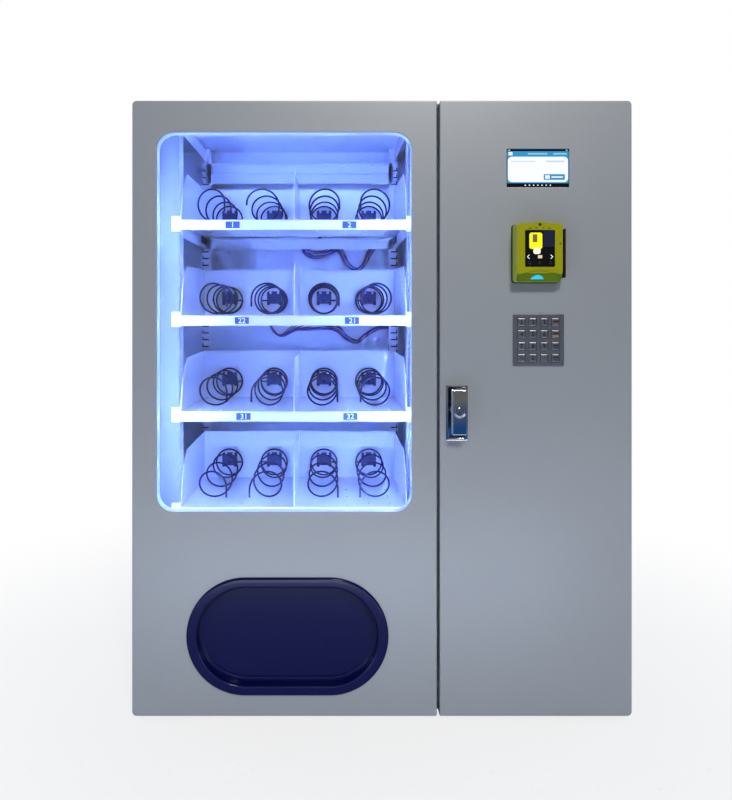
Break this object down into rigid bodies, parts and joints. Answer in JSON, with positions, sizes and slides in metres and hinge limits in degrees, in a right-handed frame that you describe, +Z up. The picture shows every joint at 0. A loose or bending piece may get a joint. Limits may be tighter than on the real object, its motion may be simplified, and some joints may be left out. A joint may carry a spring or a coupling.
{
  "type": "snack vending machine",
  "caption": "Slim steel snack vending machine with a glazed product door over wire-spiral trays, an oval delivery flap, and a control door with display, card terminal, keypad and T-handle lock.",
  "frame": {"origin": "middle of the cabinet's base, on the floor", "axes": "+X right seen from the front, +Y from the doors towards the back, +Z up"},
  "size_m": [0.91, 0.52, 1.127],
  "materials": {
    "door_paint": "light grey powder coat",
    "inner_paint": "white powder coat",
    "tray_steel": "white powder coat",
    "glass": "clear toughened glass",
    "light_diffuser": "white light strip profile",
    "dark_plastic": "moulded, gloss",
    "wire": "plated wire with a plastic hub",
    "motor": "moulded gear case",
    "brushed_steel": "brushed",
    "chrome": "bright plated",
    "display": "lit display",
    "terminal_green": "yellow-green moulded case",
    "black_glass": "lit screen",
    "box_steel": "plain grey",
    "loom_sleeve": "insulated wires"
  },
  "bodies": {
    "cabinet": {"cabinet_shell": "door_paint", "bay_partition": "inner_paint", "rack_frame": "inner_paint", "delivery_bin": "dark_plastic", "control_box": "box_steel", "wiring_loom": "loom_sleeve", "tray_1": "tray_steel", "motor_bank_1": "motor", "tray_2": "tray_steel", "motor_bank_2": "motor", "tray_3": "tray_steel", "motor_bank_3": "motor", "tray_4": "tray_steel", "motor_bank_4": "motor"},
    "window_door": {"window_door_panel": "door_paint", "window_pane": "glass", "window_light_frame": "light_diffuser", "port_frame": "dark_plastic"},
    "flap": {"delivery_flap": "dark_plastic"},
    "control_door": {"control_door_panel": "door_paint", "display_module": "display", "terminal_housing": "terminal_green", "terminal_screen": "black_glass", "keypad_plate": "brushed_steel", "lock_dish": "brushed_steel"},
    "key_1_body": {"key_1": "brushed_steel"},
    "key_2_body": {"key_2": "brushed_steel"},
    "key_3_body": {"key_3": "brushed_steel"},
    "key_4_body": {"key_4": "brushed_steel"},
    "key_5_body": {"key_5": "brushed_steel"},
    "key_6_body": {"key_6": "brushed_steel"},
    "key_7_body": {"key_7": "brushed_steel"},
    "key_8_body": {"key_8": "brushed_steel"},
    "key_9_body": {"key_9": "brushed_steel"},
    "key_10_body": {"key_10": "brushed_steel"},
    "key_11_body": {"key_11": "brushed_steel"},
    "key_12_body": {"key_12": "brushed_steel"},
    "key_13_body": {"key_13": "brushed_steel"},
    "key_14_body": {"key_14": "brushed_steel"},
    "key_15_body": {"key_15": "brushed_steel"},
    "key_16_body": {"key_16": "brushed_steel"},
    "spiral_1_1_body": {"spiral_1_1": "wire"},
    "spiral_1_2_body": {"spiral_1_2": "wire"},
    "spiral_1_3_body": {"spiral_1_3": "wire"},
    "spiral_1_4_body": {"spiral_1_4": "wire"},
    "spiral_2_1_body": {"spiral_2_1": "wire"},
    "spiral_2_2_body": {"spiral_2_2": "wire"},
    "spiral_2_3_body": {"spiral_2_3": "wire"},
    "spiral_2_4_body": {"spiral_2_4": "wire"},
    "spiral_3_1_body": {"spiral_3_1": "wire"},
    "spiral_3_2_body": {"spiral_3_2": "wire"},
    "spiral_3_3_body": {"spiral_3_3": "wire"},
    "spiral_3_4_body": {"spiral_3_4": "wire"},
    "spiral_4_1_body": {"spiral_4_1": "wire"},
    "spiral_4_2_body": {"spiral_4_2": "wire"},
    "spiral_4_3_body": {"spiral_4_3": "wire"},
    "spiral_4_4_body": {"spiral_4_4": "wire"},
    "lock_spindle_body": {"lock_spindle": "brushed_steel"},
    "lock_handle_body": {"lock_handle": "chrome"},
    "key_cylinder_body": {"key_cylinder": "chrome"}
  },
  "joints": [
    {"name": "window_door_swing", "type": "hinge", "parent": "cabinet", "child": "window_door", "pos_m": [-0.447, -0.218, 0.5635], "axis": [0, 0, -1], "range_deg": [0, 110]},
    {"name": "control_door_swing", "type": "hinge", "parent": "cabinet", "child": "control_door", "pos_m": [0.447, -0.218, 0.5635], "axis": [0, 0, 1], "range_deg": [0, 110]},
    {"name": "flap_swing", "type": "hinge", "parent": "window_door", "child": "flap", "pos_m": [-0.172, -0.222, 0.246], "axis": [1, 0, 0], "range_deg": [0, 75]},
    {"name": "key_1_press", "type": "slide", "parent": "control_door", "child": "key_1_body", "axis": [0, 1, 0], "range_m": [0, 0.0012], "stiffness_N_per_m": 600},
    {"name": "key_2_press", "type": "slide", "parent": "control_door", "child": "key_2_body", "axis": [0, 1, 0], "range_m": [0, 0.0012], "stiffness_N_per_m": 600},
    {"name": "key_3_press", "type": "slide", "parent": "control_door", "child": "key_3_body", "axis": [0, 1, 0], "range_m": [0, 0.0012], "stiffness_N_per_m": 600},
    {"name": "key_4_press", "type": "slide", "parent": "control_door", "child": "key_4_body", "axis": [0, 1, 0], "range_m": [0, 0.0012], "stiffness_N_per_m": 600},
    {"name": "key_5_press", "type": "slide", "parent": "control_door", "child": "key_5_body", "axis": [0, 1, 0], "range_m": [0, 0.0012], "stiffness_N_per_m": 600},
    {"name": "key_6_press", "type": "slide", "parent": "control_door", "child": "key_6_body", "axis": [0, 1, 0], "range_m": [0, 0.0012], "stiffness_N_per_m": 600},
    {"name": "key_7_press", "type": "slide", "parent": "control_door", "child": "key_7_body", "axis": [0, 1, 0], "range_m": [0, 0.0012], "stiffness_N_per_m": 600},
    {"name": "key_8_press", "type": "slide", "parent": "control_door", "child": "key_8_body", "axis": [0, 1, 0], "range_m": [0, 0.0012], "stiffness_N_per_m": 600},
    {"name": "key_9_press", "type": "slide", "parent": "control_door", "child": "key_9_body", "axis": [0, 1, 0], "range_m": [0, 0.0012], "stiffness_N_per_m": 600},
    {"name": "key_10_press", "type": "slide", "parent": "control_door", "child": "key_10_body", "axis": [0, 1, 0], "range_m": [0, 0.0012], "stiffness_N_per_m": 600},
    {"name": "key_11_press", "type": "slide", "parent": "control_door", "child": "key_11_body", "axis": [0, 1, 0], "range_m": [0, 0.0012], "stiffness_N_per_m": 600},
    {"name": "key_12_press", "type": "slide", "parent": "control_door", "child": "key_12_body", "axis": [0, 1, 0], "range_m": [0, 0.0012], "stiffness_N_per_m": 600},
    {"name": "key_13_press", "type": "slide", "parent": "control_door", "child": "key_13_body", "axis": [0, 1, 0], "range_m": [0, 0.0012], "stiffness_N_per_m": 600},
    {"name": "key_14_press", "type": "slide", "parent": "control_door", "child": "key_14_body", "axis": [0, 1, 0], "range_m": [0, 0.0012], "stiffness_N_per_m": 600},
    {"name": "key_15_press", "type": "slide", "parent": "control_door", "child": "key_15_body", "axis": [0, 1, 0], "range_m": [0, 0.0012], "stiffness_N_per_m": 600},
    {"name": "key_16_press", "type": "slide", "parent": "control_door", "child": "key_16_body", "axis": [0, 1, 0], "range_m": [0, 0.0012], "stiffness_N_per_m": 600},
    {"name": "spiral_1_1_turn", "type": "hinge", "parent": "cabinet", "child": "spiral_1_1_body", "pos_m": [-0.32653, 0.164, 0.953], "axis": [0, 1, 0], "continuous": true},
    {"name": "spiral_1_2_turn", "type": "hinge", "parent": "cabinet", "child": "spiral_1_2_body", "pos_m": [-0.22309, 0.164, 0.953], "axis": [0, 1, 0], "continuous": true},
    {"name": "spiral_1_3_turn", "type": "hinge", "parent": "cabinet", "child": "spiral_1_3_body", "pos_m": [-0.10791, 0.164, 0.953], "axis": [0, 1, 0], "continuous": true},
    {"name": "spiral_1_4_turn", "type": "hinge", "parent": "cabinet", "child": "spiral_1_4_body", "pos_m": [-0.00447, 0.164, 0.953], "axis": [0, 1, 0], "continuous": true},
    {"name": "spiral_2_1_turn", "type": "hinge", "parent": "cabinet", "child": "spiral_2_1_body", "pos_m": [-0.32653, 0.164, 0.766], "axis": [0, 1, 0], "continuous": true},
    {"name": "spiral_2_2_turn", "type": "hinge", "parent": "cabinet", "child": "spiral_2_2_body", "pos_m": [-0.22309, 0.164, 0.766], "axis": [0, 1, 0], "continuous": true},
    {"name": "spiral_2_3_turn", "type": "hinge", "parent": "cabinet", "child": "spiral_2_3_body", "pos_m": [-0.10791, 0.164, 0.766], "axis": [0, 1, 0], "continuous": true},
    {"name": "spiral_2_4_turn", "type": "hinge", "parent": "cabinet", "child": "spiral_2_4_body", "pos_m": [-0.00447, 0.164, 0.766], "axis": [0, 1, 0], "continuous": true},
    {"name": "spiral_3_1_turn", "type": "hinge", "parent": "cabinet", "child": "spiral_3_1_body", "pos_m": [-0.32653, 0.164, 0.579], "axis": [0, 1, 0], "continuous": true},
    {"name": "spiral_3_2_turn", "type": "hinge", "parent": "cabinet", "child": "spiral_3_2_body", "pos_m": [-0.22309, 0.164, 0.579], "axis": [0, 1, 0], "continuous": true},
    {"name": "spiral_3_3_turn", "type": "hinge", "parent": "cabinet", "child": "spiral_3_3_body", "pos_m": [-0.10791, 0.164, 0.579], "axis": [0, 1, 0], "continuous": true},
    {"name": "spiral_3_4_turn", "type": "hinge", "parent": "cabinet", "child": "spiral_3_4_body", "pos_m": [-0.00447, 0.164, 0.579], "axis": [0, 1, 0], "continuous": true},
    {"name": "spiral_4_1_turn", "type": "hinge", "parent": "cabinet", "child": "spiral_4_1_body", "pos_m": [-0.32653, 0.164, 0.392], "axis": [0, 1, 0], "continuous": true},
    {"name": "spiral_4_2_turn", "type": "hinge", "parent": "cabinet", "child": "spiral_4_2_body", "pos_m": [-0.22309, 0.164, 0.392], "axis": [0, 1, 0], "continuous": true},
    {"name": "spiral_4_3_turn", "type": "hinge", "parent": "cabinet", "child": "spiral_4_3_body", "pos_m": [-0.10791, 0.164, 0.392], "axis": [0, 1, 0], "continuous": true},
    {"name": "spiral_4_4_turn", "type": "hinge", "parent": "cabinet", "child": "spiral_4_4_body", "pos_m": [-0.00447, 0.164, 0.392], "axis": [0, 1, 0], "continuous": true},
    {"name": "lock_turn", "type": "hinge", "parent": "control_door", "child": "lock_spindle_body", "pos_m": [0.136, -0.22, 0.56], "axis": [0, 1, 0], "range_deg": [0, 90]},
    {"name": "handle_pop", "type": "slide", "parent": "lock_spindle_body", "child": "lock_handle_body", "axis": [0, -1, 0], "range_m": [-0.03, 0], "stiffness_N_per_m": 150, "springref_m": 0.01},
    {"name": "key_turn", "type": "hinge", "parent": "lock_handle_body", "child": "key_cylinder_body", "pos_m": [0.136, -0.27, 0.56], "axis": [0, 1, 0], "range_deg": [0, 90]}
  ],
  "couplings": [
    {"joint": "spiral_1_2_turn", "follows": "spiral_1_1_turn", "ratio": -1},
    {"joint": "spiral_1_4_turn", "follows": "spiral_1_3_turn", "ratio": -1},
    {"joint": "spiral_2_2_turn", "follows": "spiral_2_1_turn", "ratio": -1},
    {"joint": "spiral_2_4_turn", "follows": "spiral_2_3_turn", "ratio": -1},
    {"joint": "spiral_3_2_turn", "follows": "spiral_3_1_turn", "ratio": -1},
    {"joint": "spiral_3_4_turn", "follows": "spiral_3_3_turn", "ratio": -1},
    {"joint": "spiral_4_2_turn", "follows": "spiral_4_1_turn", "ratio": -1},
    {"joint": "spiral_4_4_turn", "follows": "spiral_4_3_turn", "ratio": -1}
  ]
}
